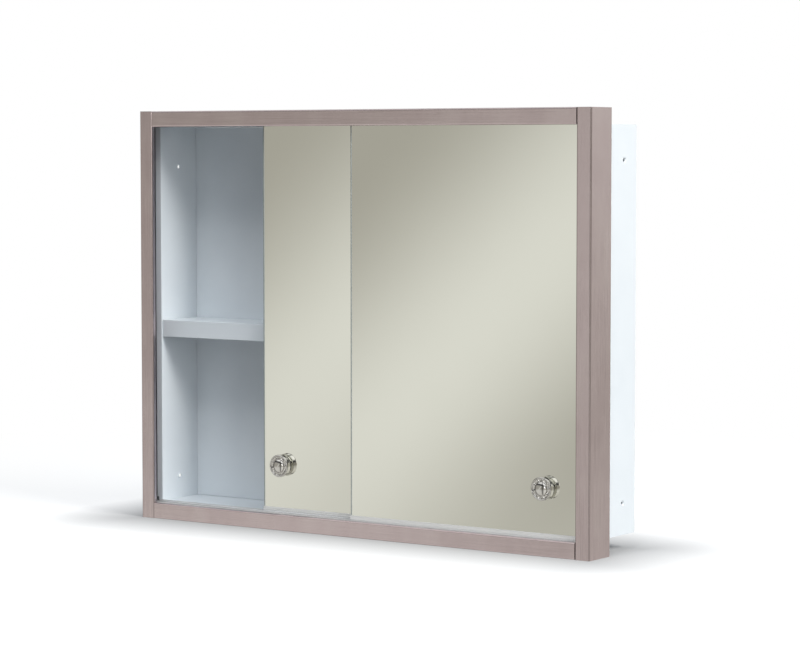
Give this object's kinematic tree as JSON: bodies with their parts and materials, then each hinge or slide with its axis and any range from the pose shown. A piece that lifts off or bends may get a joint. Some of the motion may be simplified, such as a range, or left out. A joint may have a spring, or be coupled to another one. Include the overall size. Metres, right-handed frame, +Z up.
{
  "type": "medicine cabinet",
  "caption": "Recessed bathroom medicine cabinet with a brushed steel face frame, a white shelf inside and frameless mirrors that slide past each other on knobs.",
  "frame": {"origin": "centre of the wall opening, in the plane of the wall's face, where the rear returns of the face frame rest", "axes": "+X to the right across the front, +Y into the wall, +Z up"},
  "size_m": [0.622, 0.1153, 0.483],
  "materials": {
    "brushed_stainless": "warm grey brushed stainless steel, grain along each member",
    "white_enamel": "smooth cool white baked enamel on sheet steel",
    "mirror_glass": "silvered float glass with polished edges",
    "backing_film": "grey protective film on the silvered side",
    "bright_aluminium": "bright extruded aluminium with fine drawing lines",
    "chrome": "polished chrome plate",
    "black_rubber": "matte black rubber",
    "white_nylon": "natural white nylon",
    "zinc_plate": "bright zinc plated steel"
  },
  "bodies": {
    "cabinet": {"left_stile": "brushed_stainless", "right_stile": "brushed_stainless", "top_rail": "brushed_stainless", "bottom_rail": "brushed_stainless", "left_side_panel": "white_enamel", "right_side_panel": "white_enamel", "top_panel": "white_enamel", "bottom_panel": "white_enamel", "back_panel": "white_enamel", "shelf": "white_enamel", "top_track": "bright_aluminium", "bottom_track": "bright_aluminium", "top_track_left_rivet": "bright_aluminium", "top_track_centre_rivet": "bright_aluminium", "top_track_right_rivet": "bright_aluminium", "bottom_track_left_rivet": "bright_aluminium", "bottom_track_centre_rivet": "bright_aluminium", "bottom_track_right_rivet": "bright_aluminium", "front_left_bumper": "black_rubber", "front_right_bumper": "black_rubber", "rear_left_bumper": "black_rubber", "rear_right_bumper": "black_rubber", "top_left_bracket": "zinc_plate", "top_left_bracket_rail_rivet": "zinc_plate", "top_left_bracket_stile_rivet": "zinc_plate", "top_right_bracket": "zinc_plate", "top_right_bracket_rail_rivet": "zinc_plate", "top_right_bracket_stile_rivet": "zinc_plate", "bottom_left_bracket": "zinc_plate", "bottom_left_bracket_rail_rivet": "zinc_plate", "bottom_left_bracket_stile_rivet": "zinc_plate", "bottom_right_bracket": "zinc_plate", "bottom_right_bracket_rail_rivet": "zinc_plate", "bottom_right_bracket_stile_rivet": "zinc_plate"},
    "left_door": {"left_mirror": "mirror_glass", "left_mirror_backing": "backing_film", "left_shoe": "bright_aluminium", "left_shoe_left_glide": "white_nylon", "left_shoe_right_glide": "white_nylon", "left_knob": "chrome", "left_knob_gasket": "black_rubber", "left_knob_washer": "zinc_plate", "left_knob_screw": "zinc_plate"},
    "right_door": {"right_mirror": "mirror_glass", "right_mirror_backing": "backing_film", "right_shoe": "bright_aluminium", "right_shoe_left_glide": "white_nylon", "right_shoe_right_glide": "white_nylon", "right_knob": "chrome", "right_knob_gasket": "black_rubber", "right_knob_washer": "zinc_plate", "right_knob_screw": "zinc_plate"}
  },
  "joints": [
    {"name": "left_door_slide", "type": "slide", "parent": "cabinet", "child": "left_door", "axis": [1, 0, 0], "range_m": [-0.162, 0]},
    {"name": "right_door_slide", "type": "slide", "parent": "cabinet", "child": "right_door", "axis": [1, 0, 0], "range_m": [-0.088, 0]}
  ]
}
